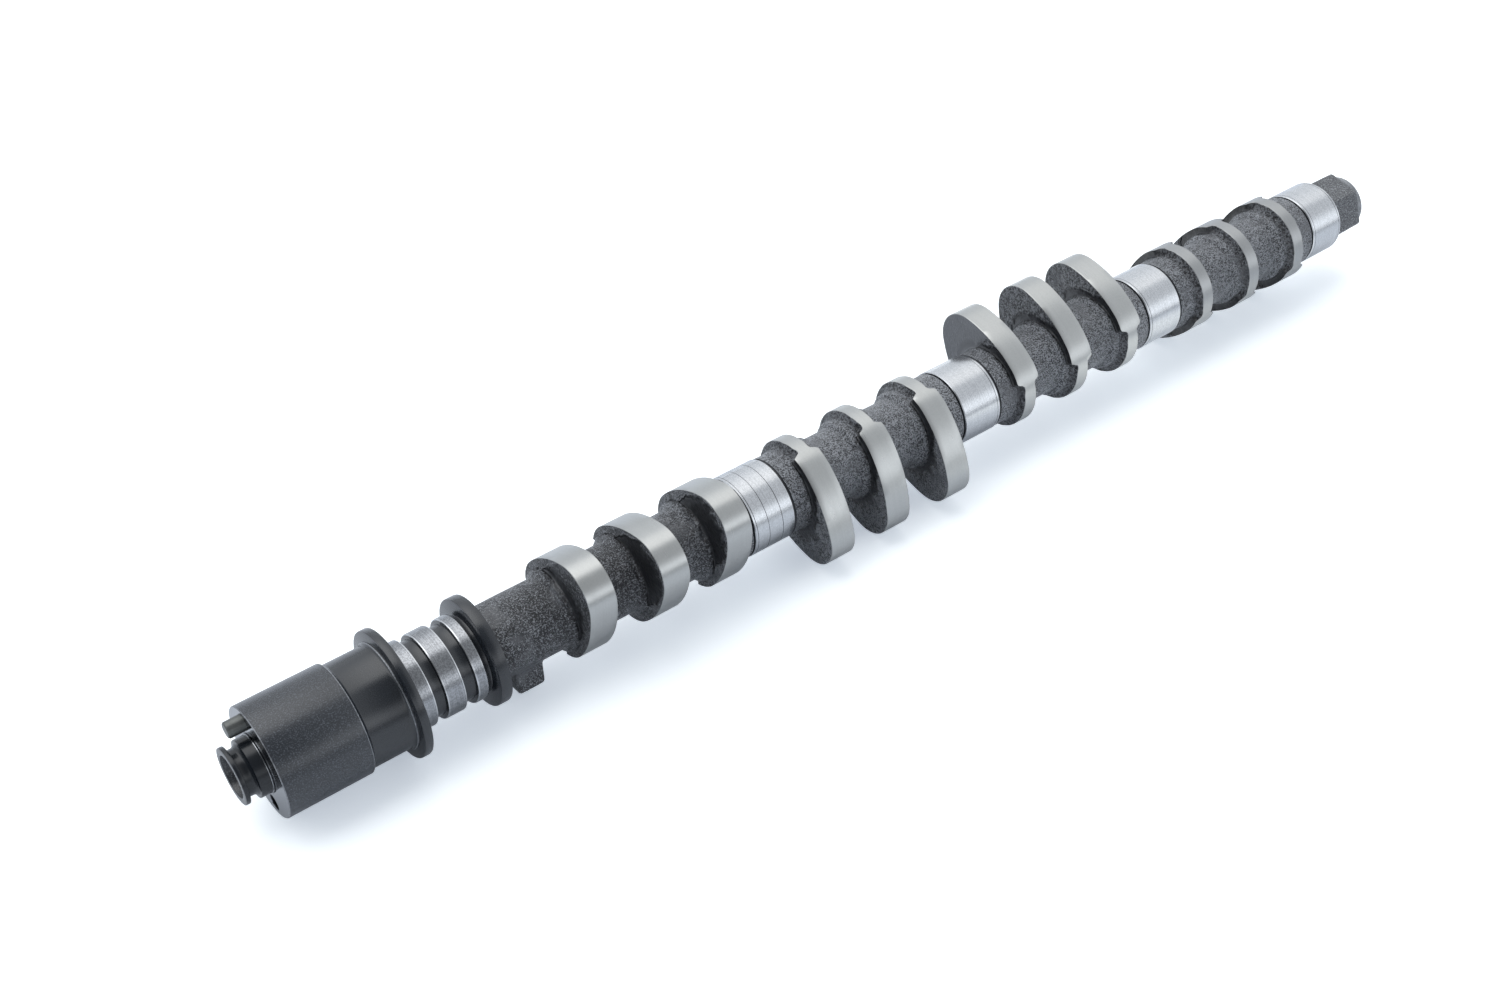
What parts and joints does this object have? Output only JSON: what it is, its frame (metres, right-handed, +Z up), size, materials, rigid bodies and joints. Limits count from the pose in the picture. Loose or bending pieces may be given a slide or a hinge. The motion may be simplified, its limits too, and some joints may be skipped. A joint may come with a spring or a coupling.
{
  "type": "camshaft",
  "caption": "Cast-iron overhead camshaft with ground lobes, plain journals, a grooved front journal and a dowelled pulley seat.",
  "frame": {"origin": "centre of the drum's front face, where the pulley seats, on the shaft's axis", "axes": "+X along the shaft's axis from the nose to the rear, +Z up as the shaft lies on a table"},
  "size_m": [0.4647, 0.0476, 0.0476],
  "materials": {
    "cast_iron": "dark cast skin with ground lobes and journals",
    "dowel_steel": "hardened steel, oil blackened"
  },
  "bodies": {
    "root": {"camshaft": "cast_iron", "dowel_pin": "dowel_steel"}
  },
  "joints": []
}
